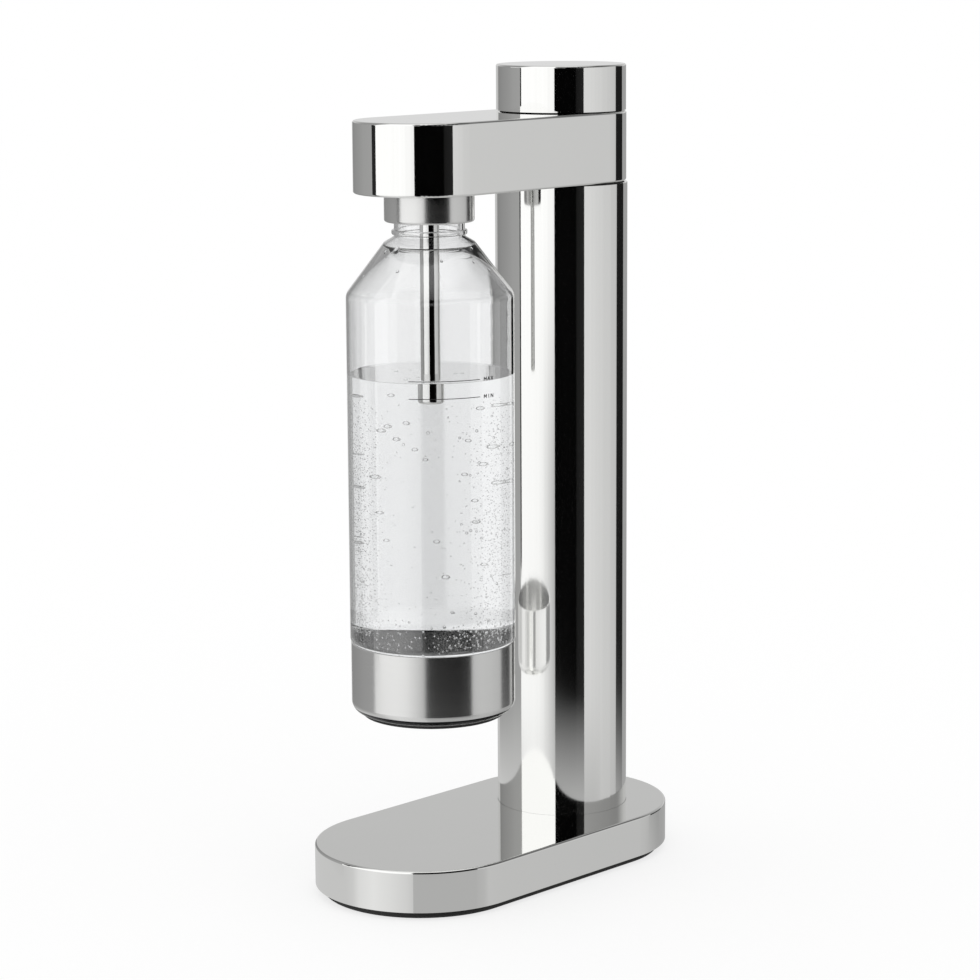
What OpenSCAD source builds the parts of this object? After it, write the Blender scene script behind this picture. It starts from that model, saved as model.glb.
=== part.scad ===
// Sparkling water maker: a stadium-shaped steel base carries a steel column that hides the gas
// cylinder. An arm at its top reaches forward to the nozzle, and the bottle screws in under it.
// The round cap over the column is the knob: its turn is changed by a face cam into the press of
// a plunger on the cylinder's valve pin. Up is +Z, the bottle stands at -Y, Z is zero on the table.

/* [Base] */
// Width of the base, and so the diameter of its two round ends
base_width = 113; // [108:0.5:130]
// Distance between the centres of the two round ends
base_span = 108; // [100:0.5:130]
// Height of the steel base above its foot pad
base_height = 21.6; // [18:0.2:30]
// Sheet thickness of the base
base_wall = 2; // [1.5:0.1:3]
// Rounding of the base's top edge
base_edge = 1.2; // [0.6:0.1:2]
// Thickness of the rubber foot pad
pad_height = 4.2; // [3:0.1:6]
// How far the foot pad stands in from the side of the base
pad_inset = 4; // [3:0.1:7]
// Thickness of the plate that closes the base from below
plate_height = 2; // [1.5:0.1:3]

/* [Column] */
// Outer radius of the column
column_r = 35; // [34:0.1:38]
// Height of the column above the base
column_length = 336.6; // [326:0.1:370]
// Wall thickness of the column
column_wall = 1.5; // [1.1:0.1:2]
// Height of the dark gap between the column and the arm
joint_gap = 0.8; // [0.5:0.1:3]

/* [Arm] */
// Outer radius of the arm's two round ends
arm_r = 34.35; // [33.6:0.05:37]
// Distance between the centres of the arm's two round ends
arm_span = 105.1; // [98:0.1:110]
// Height of the arm
arm_height = 36.6; // [35:0.1:45]
// Wall thickness of the arm's side
arm_wall = 1.8; // [1.4:0.1:2.2]
// Thickness of the arm's top
arm_top = 3; // [2:0.1:3.4]
// Rounding of the arm's upper and lower edges
arm_edge = 1.2; // [0.6:0.1:1.6]

/* [Knob] */
// Outer radius of the knob
knob_r = 34.15; // [31:0.05:36]
// Height of the knob
knob_height = 23.9; // [18:0.1:28]
// Wall thickness of the knob's steel cap
knob_wall = 1.8; // [1.2:0.1:2.4]
// Height of the dark gap between the arm and the knob
knob_gap = 0.5; // [0.4:0.05:1]
// Rounding of the knob's top edge
knob_edge = 1; // [0.5:0.1:2]

/* [Face cam] */
// Outer radius of the face cam's teeth
cam_r = 11.5; // [10:0.1:12]
// Number of teeth around the cam
cam_teeth = 3; // [3:1:3]
// Angle that one tooth's ramp spans, in degrees
ramp_angle = 112; // [104:1:114]
// Drop of the ramp over a whole turn
cam_lead = 18; // [15:0.5:18]
// Height of the ring that carries the teeth
cam_ring_height = 4; // [3:0.1:4.5]

/* [Bottle] */
// Outer radius of the bottle
bottle_r = 42.8; // [40:0.1:46]
// Height of the bottle from its foot to its lip
bottle_height = 264.9; // [235:0.1:280]
// Wall thickness of the bottle
bottle_wall = 1.4; // [1:0.1:2]
// Height of the slanted shoulder
shoulder_height = 26; // [20:0.5:34]
// Radius that rounds the shoulder into the side
shoulder_blend = 7; // [4:0.5:10]
// Outer radius of the neck below its thread
neck_r = 18; // [17:0.1:18.6]
// Height of the neck above the shoulder
neck_height = 20; // [19:0.1:24]
// Outer radius of the bead on the neck
bead_r = 19.3; // [19:0.05:19.4]
// Width of the nearly flat ring around the foot of the neck
shelf_width = 5.2; // [2.5:0.1:6]

/* [Bottle cup] */
// How far the steel cup's side stands in from the bottle's side
cup_step = 0.4; // [0.2:0.1:2]
// Height of the cup
cup_height = 36.7; // [30:0.1:50]
// Sheet thickness of the cup
cup_wall = 0.8; // [0.6:0.1:1.2]
// Rounding of the cup's bottom edge
cup_edge = 5.5; // [3:0.1:8]
// Thickness of the rubber ring under the cup
foot_ring_height = 1.8; // [1:0.1:3]

/* [Bottle head] */
// Distance from the centre of the arm's front end back to the nozzle's axis
nozzle_setback = 5.7; // [4.5:0.1:8]
// Outer radius of the steel collar
collar_r = 22.95; // [22.8:0.05:25]
// Height of the collar below the arm
collar_height = 14.8; // [12:0.1:17]
// Wall thickness of the collar
collar_wall = 1.4; // [1:0.1:1.6]
// Rounding of the collar's lower edge
collar_edge = 1.3; // [0.6:0.1:1.4]
// Outer radius of the nozzle tube
nozzle_r = 5; // [4:0.1:5.5]
// Length of the nozzle tube below the arm
nozzle_length = 93.2; // [80:0.1:100]
// Length of the nozzle's tip
tip_length = 13.2; // [8:0.1:20]

/* [Gas cylinder] */
// Outer radius of the gas cylinder
cylinder_r = 30; // [28:0.1:30.4]
// Height of the cylinder's foot above the table
cylinder_lift = 6; // [5:0.1:9]
// Wall thickness of the gas cylinder
cylinder_wall = 2.5; // [2:0.1:4]
// Radius of the cylinder's valve thread
valve_r = 10.5; // [9:0.05:11]
// Radius of the pin that opens the valve
pin_r = 1.8; // [1.5:0.05:2.2]

/* [Fits] */
// Radial clearance of shafts and pins that turn or slide
running_gap = 0.05; // [0.02:0.01:0.1]
// Radial clearance of fixed pieces that fit into each other
fit_gap = 0.1; // [0.05:0.01:0.15]
// Gap between faces of pieces that move past each other
face_gap = 0.3; // [0.2:0.05:0.35]

/* [Hidden] */
$fn = 96;

// How far a cut runs past the face it opens
overrun = 1;

// Rounding of the edges of small turned pieces
small_edge = 1.2;

// Heights of the stack, from the table up
plate_z = pad_height;
base_top_z = pad_height + base_height;
base_roof_z = base_top_z - base_wall;
column_top_z = base_top_z + column_length;
arm_z = column_top_z + joint_gap;
arm_top_z = arm_z + arm_height;
arm_roof_z = arm_top_z - arm_top;
knob_z = arm_top_z + knob_gap;
knob_top_z = knob_z + knob_height;

// Places of the column's axis, the nozzle's axis and the arm's front centre
base_r = base_width / 2;
column_y = base_span / 2;
nozzle_y = column_y - arm_span + nozzle_setback;
arm_mid_y = column_y - arm_span / 2;

// Base: bosses and ribs under the sheet, and the flange that holds the column
plate_r = base_r - base_wall - fit_gap;
pad_edge = 1.2;
port_gap = 0.8;
pad_port_gap = 2;
rib_width = 2;
rib_height = 4;
rib_count = 5;
rib_inset = 12;
flange_gap = 7.5;
flange_r = base_r - base_wall - flange_gap;
flange_height = 3;
sleeve_height = 13;
sleeve_wall = 3;
column_foot_z = base_roof_z - sleeve_height;
column_bore_r = column_r - column_wall;

// Guide that keeps the gas cylinder upright in the column
guide_gap = 0.4;
guide_height = 34;
guide_lip = 3;

// Spigot between the column and the arm
spigot_depth = 24;
spigot_wall = 2.6;
gap_inset = 2.4;
cover_height = 2.5;
cover_r = arm_r - arm_wall - fit_gap;
cover_land = 2;
spigot_top_r = cover_r - cover_land;
spigot_top_wall = 3;
cover_top_z = arm_z + cover_height;
plate_clear = 0.5;
head_plate_height = 3;
head_plate_r = arm_r - arm_wall - plate_clear;
deck_z = cover_top_z + head_plate_height;

// Valve block with the socket for the cylinder's valve
block_r = 22;
block_height = 17;
socket_depth = 13;
seal_height = 1.5;
seal_bore = 5;
block_z = cover_top_z - block_height;
socket_roof_z = block_z + socket_depth;
valve_top_z = socket_roof_z - seal_height - face_gap;

// Plunger, its guide and the return spring
stem_r = 3.5;
disc_height = 2.5;
disc_gap = 0.8;
key_width = 4;
key_reach = 2;
guide_wall = 3;
guide_bore = cam_r + disc_gap;
bush_drop = 2;
bush_wall = 3;
bush_flange = 0.8;
bush_flange_width = 4;
spindle_r = 6;
tooth_root = 0.5;
tooth_inset = 0.4;
bush_foot_z = arm_roof_z - bush_drop;
cam_top_z = bush_foot_z - face_gap;
cam_z = cam_top_z - cam_ring_height;
rise = cam_lead * ramp_angle / 360;
disc_top_z = cam_z - rise - face_gap - tooth_root;
disc_z = disc_top_z - disc_height;
guide_top_z = cam_z;

// Return spring around the plunger's stem
wire_r = 0.6;
coil_r = 7;
coil_turns = 4;
rings_per_turn = 8;
wire_sides = 6;
spring_seat = 0.05;

// Gas cylinder and its valve
neck_outer_r = 12.5;
cylinder_neck = 8;
cylinder_dome = 18;
cylinder_foot_edge = 5;
plug_r = 8;
plug_depth = 10;
valve_flange_height = 4.4;
recess_gap = 0.7;
recess_r = stem_r + recess_gap;
recess_depth = 5;
pin_travel = 3;
pin_rise = 1;
pin_length = 13;
valve_flange_z = block_z - face_gap - valve_flange_height;
neck_top_z = valve_flange_z;
dome_top_z = neck_top_z - cylinder_neck;
recess_z = valve_top_z - recess_depth;
pin_top_z = valve_top_z + pin_rise;
stem_foot_z = pin_top_z + face_gap;

// Nozzle block, gas tube and relief valve in the arm
nozzle_block_r = 15;
nozzle_block_height = 15;
nozzle_socket = 10;
tube_r = 2;
tube_bend = 6;
tube_height = 7;
tube_inset = 4;
tube_y = column_y - block_r + 1.5 * tube_r;
tube_z = deck_z + tube_height;
tube_foot_z = cover_top_z - tube_inset;
relief_hex_r = 5;
relief_hex_height = 3;
relief_cap_r = 3.6;
relief_cap_height = 4.5;
nozzle_bore = 1.5;
tip_taper = 1.6;
tip_jet_r = 0.6;

// Collar, thread insert and seal
seal_thickness = 1.9;
collar_bore = collar_r - collar_wall;
insert_inset = 1;
insert_gap = 0.5;
insert_roof = 1.5;
insert_bore = bead_r + insert_gap;
seal_r = insert_bore - face_gap;
seal_z = arm_z - face_gap - seal_thickness;
insert_top_z = arm_z - insert_roof;
collar_z = arm_z - collar_height;

// Bottle, from its lip down
lip_z = seal_z - face_gap;
bottle_z = lip_z - bottle_height;
neck_foot_z = lip_z - neck_height;
shelf_drop = 2.7;
shelf_r = neck_r + shelf_width;
shoulder_top_z = neck_foot_z - shelf_drop;
shoulder_foot_z = shoulder_top_z - shoulder_height;
neck_wall = 2;
bead_height = 2.6;
bead_drop = 2;
cup_r = bottle_r - cup_step;
cup_z = bottle_z - cup_wall;
cup_rim_z = cup_z + cup_height;
waist_r = cup_r - cup_wall - fit_gap;
waist_rise = 1.4;
bottle_foot_edge = cup_edge - cup_wall;
bottle_dome = 9;
foot_ring_z = cup_z - foot_ring_height;
foot_ring_r = cup_r - cup_edge - fit_gap;
foot_ring_width = 6;

// Knob: the hub inside the cap and its ribs
hub_r = knob_r - knob_wall - fit_gap;
hub_disc = 3;
hub_boss_r = 10;
hub_rim = 2.5;
hub_ribs = 6;
hub_z = arm_top_z + bush_flange + face_gap;
hub_top_z = knob_top_z - knob_wall;

// Puts what follows on the column's axis, at height z
module at_column(z) {
    translate([0, column_y, z]) children();
}

// Puts what follows on the nozzle's and bottle's axis, at height z
module at_nozzle(z) {
    translate([0, nozzle_y, z]) children();
}

// A plate with two round ends
module stadium(r, span, h) {
    linear_extrude(h) {
        for (side = [-1, 1]) translate([0, side * span / 2]) circle(r);
        square([2 * r, span], center = true);
    }
}

// Half section of a round piece whose lower and upper edges may be rounded
module half_section(r, h, low, high) {
    square([r - max(low, high), h]);
    translate([0, low]) square([r, h - low - high]);
    if (low > 0) {
        square([r - low, h - high]);
        translate([r - low, low]) circle(low);
    }
    if (high > 0) {
        translate([0, low]) square([r - high, h - low]);
        translate([r - high, h - high]) circle(high);
    }
}

// A solid of revolution with rounded edges
module turned(r, h, low = 0, high = 0) {
    rotate_extrude() intersection() {
        half_section(r, h, low, high);
        square([r, h]);
    }
}

// A plate with two round ends and rounded edges
module rounded(r, span, h, low = 0, high = 0) {
    for (side = [0, 180]) rotate(side) translate([0, span / 2, 0])
        rotate_extrude(angle = 180) intersection() {
            half_section(r, h, low, high);
            square([r, h]);
        }
    rotate([90, 0, 0]) translate([0, 0, -span / 2]) linear_extrude(span)
        for (flip = [0, 1]) mirror([flip, 0]) intersection() {
            half_section(r, h, low, high);
            square([r, h]);
        }
}

// A plain tube or washer
module ring(outer, inner, h) {
    difference() {
        cylinder(r = outer, h = h);
        translate([0, 0, -overrun]) cylinder(r = inner, h = h + 2 * overrun);
    }
}

// Points of an arc about a centre, from angle a to angle b
function arc(centre, r, a, b, steps) = [
    for (i = [0 : steps]) let (t = a + (b - a) * i / steps)
        [centre[0] + r * cos(t), centre[1] + r * sin(t)]
];

// Rubber pad under the base, open where the gas cylinder passes
module foot_pad() {
    color("dimgray") difference() {
        rounded(base_r - pad_inset, base_span, pad_height, pad_edge, 0);
        at_column(-overrun)
            cylinder(r = cylinder_r + pad_port_gap, h = pad_height + 2 * overrun);
    }
}

// Steel plate that closes the base from below, ribbed in front of the cylinder port
module base_plate() {
    color("gray") translate([0, 0, plate_z]) difference() {
        union() {
            stadium(plate_r, base_span, plate_height);
            for (i = [0 : rib_count - 1]) {
                rib_y = -column_y + i * column_y / rib_count;
                translate([0, rib_y, plate_height + rib_height / 2])
                    cube([2 * (base_r - rib_inset), rib_width, rib_height], center = true);
            }
        }
        at_column(-overrun)
            cylinder(r = cylinder_r + port_gap, h = plate_height + 2 * overrun);
    }
}

// Drawn and polished steel shell of the base, open below and bored for the column
module base_shell() {
    color("silver") translate([0, 0, pad_height]) difference() {
        rounded(base_r, base_span, base_height, 0, base_edge);
        translate([0, 0, -overrun])
            stadium(base_r - base_wall, base_span, base_height - base_wall + overrun);
        at_column(0) cylinder(r = column_r + fit_gap, h = base_height + overrun);
    }
}

// Sleeve and flange under the base's top that hold the column upright
module column_flange() {
    color("gray") at_column(column_foot_z) difference() {
        union() {
            cylinder(r = column_r + fit_gap + sleeve_wall, h = sleeve_height);
            translate([0, 0, sleeve_height - flange_height])
                cylinder(r = flange_r, h = flange_height);
        }
        translate([0, 0, -overrun])
            cylinder(r = column_r + fit_gap, h = sleeve_height + 2 * overrun);
    }
}

// Polished steel tube that hides the gas cylinder
module column_tube() {
    color("silver") at_column(column_foot_z)
        ring(column_r, column_bore_r, column_top_z - column_foot_z);
}

// Sleeve in the column's foot that leads the gas cylinder up to its socket
module cylinder_guide() {
    color("black") at_column(plate_z + plate_height) difference() {
        cylinder(r = column_bore_r - fit_gap, h = guide_height);
        translate([0, 0, -overrun])
            cylinder(r = cylinder_r + guide_gap, h = guide_height + 2 * overrun);
        translate([0, 0, guide_height - guide_lip])
            cylinder(r1 = cylinder_r + guide_gap, r2 = column_bore_r - 2 * fit_gap,
                     h = guide_lip + fit_gap);
    }
}

// Cap that plugs the column and carries the arm, and shows as the dark gap between them
module arm_spigot() {
    color("black") at_column(0) difference() {
        union() {
            translate([0, 0, column_top_z - spigot_depth])
                cylinder(r = column_bore_r - fit_gap, h = spigot_depth);
            translate([0, 0, column_top_z]) cylinder(r = column_r - gap_inset, h = joint_gap);
            translate([0, 0, arm_z]) cylinder(r = spigot_top_r, h = cover_height);
        }
        translate([0, 0, column_top_z - spigot_depth - overrun])
            cylinder(r = column_bore_r - spigot_wall, h = spigot_depth - spigot_wall + overrun);
        translate([0, 0, column_top_z - spigot_wall - overrun])
            cylinder(r = spigot_top_r - spigot_top_wall,
                     h = spigot_wall + joint_gap + cover_height + 2 * overrun);
    }
}

// Polished steel shell of the arm, open below
module arm_shell() {
    color("silver") translate([0, arm_mid_y, arm_z]) difference() {
        rounded(arm_r, arm_span, arm_height, arm_edge, arm_edge);
        translate([0, 0, -overrun])
            stadium(arm_r - arm_wall, arm_span, arm_height - arm_top + overrun);
        translate([0, arm_span / 2, 0])
            cylinder(r = spindle_r + bush_wall + fit_gap, h = arm_height + overrun);
    }
}

// Plate that closes the arm from below, bored for the spigot and the nozzle
module arm_cover() {
    color("dimgray") difference() {
        translate([0, arm_mid_y, arm_z]) stadium(cover_r, arm_span, cover_height);
        at_column(arm_z - overrun)
            cylinder(r = spigot_top_r + fit_gap, h = cover_height + 2 * overrun);
        at_nozzle(arm_z - overrun)
            cylinder(r = nozzle_r + fit_gap, h = cover_height + 2 * overrun);
    }
}

// Steel plate that carries the valve block, the guide and the nozzle block
module head_plate() {
    color("gray") difference() {
        translate([0, arm_mid_y, cover_top_z])
            stadium(head_plate_r, arm_span, head_plate_height);
        at_column(cover_top_z - overrun)
            cylinder(r = recess_r, h = head_plate_height + 2 * overrun);
        at_nozzle(cover_top_z - overrun)
            cylinder(r = nozzle_r + fit_gap, h = head_plate_height + 2 * overrun);
        translate([0, tube_y, cover_top_z - overrun])
            cylinder(r = tube_r + fit_gap, h = head_plate_height + 2 * overrun);
    }
}

// Brass block that the gas cylinder's valve screws up into
module valve_block() {
    color("goldenrod") at_column(block_z) difference() {
        turned(block_r, block_height, small_edge, 0);
        translate([0, 0, -overrun])
            cylinder(r = valve_r + running_gap, h = socket_depth + overrun);
        cylinder(r = stem_r + running_gap, h = block_height + overrun);
        translate([0, tube_y - column_y, block_height - tube_inset])
            cylinder(r = tube_r + fit_gap, h = tube_inset + overrun);
    }
}

// Washer that the cylinder's valve seals against
module valve_seal() {
    color("black") at_column(socket_roof_z - seal_height)
        ring(valve_r - fit_gap, seal_bore, seal_height);
}

// Slotted ring that keeps the plunger from turning with the knob
module plunger_guide() {
    color("gray") at_column(deck_z) difference() {
        ring(guide_bore + guide_wall, guide_bore, guide_top_z - deck_z);
        translate([0, 0, (guide_top_z - deck_z) / 2])
            cube([2 * (guide_bore + key_reach), key_width + 2 * face_gap,
                  guide_top_z - deck_z + 2 * overrun], center = true);
    }
}

// Flanged bearing of the knob's spindle in the arm's top
module knob_bush() {
    color("black") at_column(bush_foot_z) difference() {
        union() {
            cylinder(r = spindle_r + bush_wall, h = bush_drop + arm_top + bush_flange);
            translate([0, 0, bush_drop + arm_top])
                cylinder(r = spindle_r + bush_wall + bush_flange_width, h = bush_flange);
        }
        translate([0, 0, -overrun])
            cylinder(r = spindle_r + running_gap,
                     h = bush_drop + arm_top + bush_flange + 2 * overrun);
    }
}

// Bent tube that leads the gas from the valve block to the nozzle block
module gas_tube() {
    run_start = tube_y - tube_bend;
    run_end = nozzle_y + nozzle_block_r - tube_inset;
    color("goldenrod") {
        translate([0, tube_y, tube_foot_z])
            cylinder(r = tube_r, h = tube_z - tube_bend - tube_foot_z);
        translate([0, run_start, tube_z - tube_bend]) rotate([90, 0, 90])
            rotate_extrude(angle = 90) translate([tube_bend, 0]) circle(tube_r);
        translate([0, run_start, tube_z]) rotate([90, 0, 0])
            cylinder(r = tube_r, h = run_start - run_end);
    }
}

// Brass block at the nozzle's head
module nozzle_block() {
    color("goldenrod") at_nozzle(deck_z) difference() {
        turned(nozzle_block_r, nozzle_block_height, 0, small_edge);
        translate([0, 0, -overrun])
            cylinder(r = nozzle_r + fit_gap, h = nozzle_socket + overrun);
        translate([0, 0, tube_height]) rotate([-90, 0, 0])
            cylinder(r = tube_r + fit_gap, h = nozzle_block_r + overrun);
    }
}

// Pressure relief valve on top of the nozzle block
module relief_valve() {
    color("goldenrod") at_nozzle(deck_z + nozzle_block_height) {
        cylinder(r = relief_hex_r, h = relief_hex_height, $fn = 6);
        translate([0, 0, relief_hex_height])
            turned(relief_cap_r, relief_cap_height, 0, small_edge);
    }
}

// Steel collar under the arm that the bottle's neck enters
module bottle_collar() {
    color("silver") at_nozzle(collar_z) difference() {
        turned(collar_r, collar_height, collar_edge, 0);
        translate([0, 0, -overrun])
            cylinder(r = collar_bore, h = collar_height - insert_roof + overrun);
        cylinder(r = insert_bore, h = collar_height + overrun);
    }
}

// Threaded lining of the collar, a plain ring here
module thread_insert() {
    color("white") at_nozzle(collar_z + insert_inset)
        ring(collar_bore - fit_gap, insert_bore, insert_top_z - collar_z - insert_inset);
}

// Steel tube that reaches down into the bottle
module nozzle_tube() {
    tube_foot = arm_z - nozzle_length;
    color("silver") at_nozzle(tube_foot)
        ring(nozzle_r, nozzle_bore, deck_z + nozzle_socket - tube_foot);
}

// End of the nozzle with its fine jet
module nozzle_tip() {
    color("silver") at_nozzle(arm_z - nozzle_length - tip_length) difference() {
        turned(nozzle_r, tip_length, tip_taper, 0);
        translate([0, 0, -overrun]) cylinder(r = tip_jet_r, h = tip_length + 2 * overrun);
    }
}

// Polished steel cap of the knob
module knob_shell() {
    color("silver") at_column(knob_z) difference() {
        turned(knob_r, knob_height, 0, knob_edge);
        translate([0, 0, -overrun])
            cylinder(r = knob_r - knob_wall, h = knob_height - knob_wall + overrun);
    }
}

// Ribbed core of the knob with the spindle that turns in the bush
module knob_hub() {
    hub_height = hub_top_z - hub_z;
    spindle_z = cam_z + tooth_root;
    color("black") at_column(0) {
        translate([0, 0, hub_top_z - hub_disc]) cylinder(r = hub_r, h = hub_disc);
        translate([0, 0, hub_z]) cylinder(r = hub_boss_r, h = hub_height);
        translate([0, 0, hub_z]) ring(hub_r, hub_r - hub_rim, hub_height);
        translate([0, 0, spindle_z]) cylinder(r = spindle_r, h = hub_z - spindle_z + hub_disc);
        for (i = [0 : hub_ribs - 1]) rotate(i * 360 / hub_ribs)
            translate([hub_boss_r - rib_width, -rib_width / 2, hub_z + hub_disc])
                cube([hub_r - hub_rim / 2 - hub_boss_r + rib_width, rib_width,
                      hub_height - hub_disc]);
    }
}

// One cam tooth: a ring sector whose free face falls along a ramp. The back stands at height
// back, and the ramp runs from height ramp down by the rise of the cam.
module cam_tooth(inner, outer, back, ramp) {
    steps = 14;
    points = [
        for (i = [0 : steps]) let (a = ramp_angle * i / steps, z = ramp - rise * i / steps)
            for (p = [[inner, back], [outer, back], [outer, z], [inner, z]])
                [p[0] * cos(a), p[0] * sin(a), p[1]]
    ];
    last = 4 * steps;
    up = back > ramp;
    sides = [
        for (i = [0 : steps - 1]) for (j = [0 : 3])
            let (a = 4 * i + j, b = 4 * i + (j + 1) % 4)
                each [[a, b, b + 4], [a, b + 4, a + 4]]
    ];
    ends = [[3, 2, 1], [3, 1, 0], [last, last + 1, last + 2], [last, last + 2, last + 3]];
    faces = concat(sides, ends);
    polyhedron(points, up ? [for (f = faces) [f[2], f[1], f[0]]] : faces);
}

// Upper half of the face cam, fixed on the knob's spindle
module knob_cam() {
    color("white") at_column(0) {
        translate([0, 0, cam_z]) ring(cam_r, spindle_r + running_gap, cam_ring_height);
        for (i = [0 : cam_teeth - 1]) rotate(i * 360 / cam_teeth)
            cam_tooth(spindle_r + key_reach, cam_r - tooth_inset, cam_z + overrun, cam_z);
    }
}

// Lower half of the face cam: a keyed disc whose stem presses the valve pin
module plunger() {
    color("white") at_column(0) {
        translate([0, 0, disc_z]) cylinder(r = cam_r, h = disc_height);
        translate([0, 0, disc_z + disc_height / 2])
            cube([2 * (guide_bore + key_reach - face_gap), key_width, disc_height], center = true);
        translate([0, 0, stem_foot_z]) cylinder(r = stem_r, h = disc_z - stem_foot_z + overrun);
        for (i = [0 : cam_teeth - 1]) rotate(i * 360 / cam_teeth)
            cam_tooth(spindle_r + key_reach, cam_r - tooth_inset, disc_top_z - overrun,
                      cam_z - face_gap);
    }
}

// The spring is one unbroken helical tube between the deck and the plunger's disc
function coil_point(t, z0, z1) = [
    coil_r * cos(360 * coil_turns * t), coil_r * sin(360 * coil_turns * t), z0 + (z1 - z0) * t
];
spring_low = deck_z + wire_r + spring_seat;
spring_high = disc_z - wire_r - spring_seat;
spring_pitch = (spring_high - spring_low) / coil_turns;
echo("least gap between turns, mm", spring_pitch - 2 * wire_r);
echo("least gap pressed, mm", spring_pitch - 2 * wire_r - pin_travel / coil_turns);

// Coil spring that lifts the plunger
module return_spring() {
    count = coil_turns * rings_per_turn;
    points = [
        for (i = [0 : count]) for (k = [0 : wire_sides - 1])
            let (c = coil_point(i / count, spring_low, spring_high),
                 turn = 360 * coil_turns * i / count, a = 360 * k / wire_sides)
                [c[0] + wire_r * cos(a) * cos(turn), c[1] + wire_r * cos(a) * sin(turn),
                 c[2] + wire_r * sin(a)]
    ];
    sides = [
        for (i = [0 : count - 1]) for (k = [0 : wire_sides - 1])
            let (a = wire_sides * i + k, b = wire_sides * i + (k + 1) % wire_sides)
                each [[a, b, b + wire_sides], [a, b + wire_sides, a + wire_sides]]
    ];
    start = [for (k = [1 : wire_sides - 2]) [0, k + 1, k]];
    end = [for (k = [1 : wire_sides - 2]) [0, k, k + 1] + wire_sides * count * [1, 1, 1]];
    color("silver") at_column(0) polyhedron(points, concat(sides, start, end));
}

// Refillable gas cylinder with a domed top and a threaded neck
module gas_cylinder() {
    body_height = dome_top_z - cylinder_lift;
    color("lightgray") at_column(cylinder_lift) difference() {
        union() {
            turned(cylinder_r, body_height, cylinder_foot_edge, cylinder_dome);
            cylinder(r = neck_outer_r, h = body_height + cylinder_neck);
        }
        translate([0, 0, cylinder_wall])
            turned(cylinder_r - cylinder_wall, body_height - 2 * cylinder_wall,
                   cylinder_foot_edge - cylinder_wall, cylinder_dome - cylinder_wall);
        translate([0, 0, body_height / 2])
            cylinder(r = plug_r + running_gap, h = body_height / 2 + cylinder_neck + overrun);
    }
}

// Brass valve in the cylinder's neck, recessed around its pin
module cylinder_valve() {
    color("goldenrod") at_column(valve_flange_z) difference() {
        union() {
            translate([0, 0, -plug_depth]) cylinder(r = plug_r, h = plug_depth + overrun);
            cylinder(r = neck_outer_r, h = valve_flange_height);
            cylinder(r = valve_r, h = valve_top_z - valve_flange_z);
        }
        translate([0, 0, recess_z - valve_flange_z]) cylinder(r = recess_r, h = recess_depth + overrun);
        translate([0, 0, recess_z - valve_flange_z - pin_length])
            cylinder(r = pin_r + running_gap, h = pin_length + overrun);
    }
}

// Pin that opens the valve when it is pressed
module valve_pin() {
    color("silver") at_column(pin_top_z - pin_length) cylinder(r = pin_r, h = pin_length);
}

// Ring that seals the bottle's lip under the arm
module bottle_seal() {
    color("black") at_nozzle(seal_z) ring(seal_r, nozzle_r + face_gap, seal_thickness);
}

// Outer or inner outline of the bottle above its cup, shrunk by the wall. The shoulder's slant
// meets the side in a blend whose tangent points follow from the slant's angle.
function bottle_outline(wall) = let (
    side = bottle_r - wall,
    slant = atan2(shoulder_height, bottle_r - shelf_r),
    turn = 90 - slant,
    blend = shoulder_blend - wall,
    reach = shoulder_blend * tan(turn / 2),
    foot = shoulder_foot_z - reach - wall * tan(turn / 2)
) concat(
    [[side, cup_rim_z + 2 * waist_rise]],
    arc([side - blend, foot], blend, 0, turn, 6),
    [[shelf_r - wall * tan(slant / 2), shoulder_top_z - wall]]
);

// Clear blown bottle: narrowed foot inside the cup, slanted shoulder and beaded neck
module bottle_body() {
    inner_floor = bottle_z + bottle_wall;
    color("aliceblue", 0.4) at_nozzle(0) difference() {
        union() {
            translate([0, 0, bottle_z]) turned(waist_r, cup_height, bottle_foot_edge, 0);
            rotate_extrude() polygon(concat(
                [[0, bottle_z + cup_edge], [waist_r, bottle_z + cup_edge],
                 [waist_r, cup_rim_z + fit_gap], [bottle_r, cup_rim_z + fit_gap + waist_rise]],
                bottle_outline(0),
                [[neck_r, neck_foot_z], [neck_r, lip_z], [0, lip_z]]
            ));
            translate([0, 0, neck_foot_z + bead_drop]) turned(bead_r, bead_height,
                bead_height / 3, bead_height / 3);
        }
        rotate_extrude() polygon(concat(
            [[0, inner_floor + bottle_dome], [waist_r / 2, inner_floor + bottle_dome / 2],
             [waist_r - 2 * bottle_foot_edge, inner_floor],
             [waist_r - bottle_foot_edge, inner_floor + bottle_wall],
             [waist_r - bottle_wall, inner_floor + bottle_foot_edge],
             [waist_r - bottle_wall, cup_rim_z + waist_rise]],
            bottle_outline(bottle_wall),
            [[neck_r - neck_wall, shoulder_top_z], [neck_r - neck_wall, lip_z + overrun],
             [0, lip_z + overrun]]
        ));
        rotate_extrude() polygon([
            [0, bottle_z - overrun], [waist_r - 3 * bottle_foot_edge, bottle_z - overrun],
            [waist_r - 3 * bottle_foot_edge, bottle_z], [waist_r / 2, bottle_z + bottle_dome / 2],
            [0, bottle_z + bottle_dome]
        ]);
    }
}

// Satin steel cup around the bottle's foot
module bottle_cup() {
    color("silver") at_nozzle(cup_z) difference() {
        turned(cup_r, cup_height, cup_edge, 0);
        translate([0, 0, cup_wall])
            turned(cup_r - cup_wall, cup_height, cup_edge - cup_wall, 0);
    }
}

// Rubber ring under the cup
module bottle_foot_ring() {
    color("black") at_nozzle(foot_ring_z) difference() {
        turned(foot_ring_r, foot_ring_height, foot_ring_height / 3, 0);
        translate([0, 0, -overrun])
            cylinder(r = foot_ring_r - foot_ring_width, h = foot_ring_height + 2 * overrun);
    }
}

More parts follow.
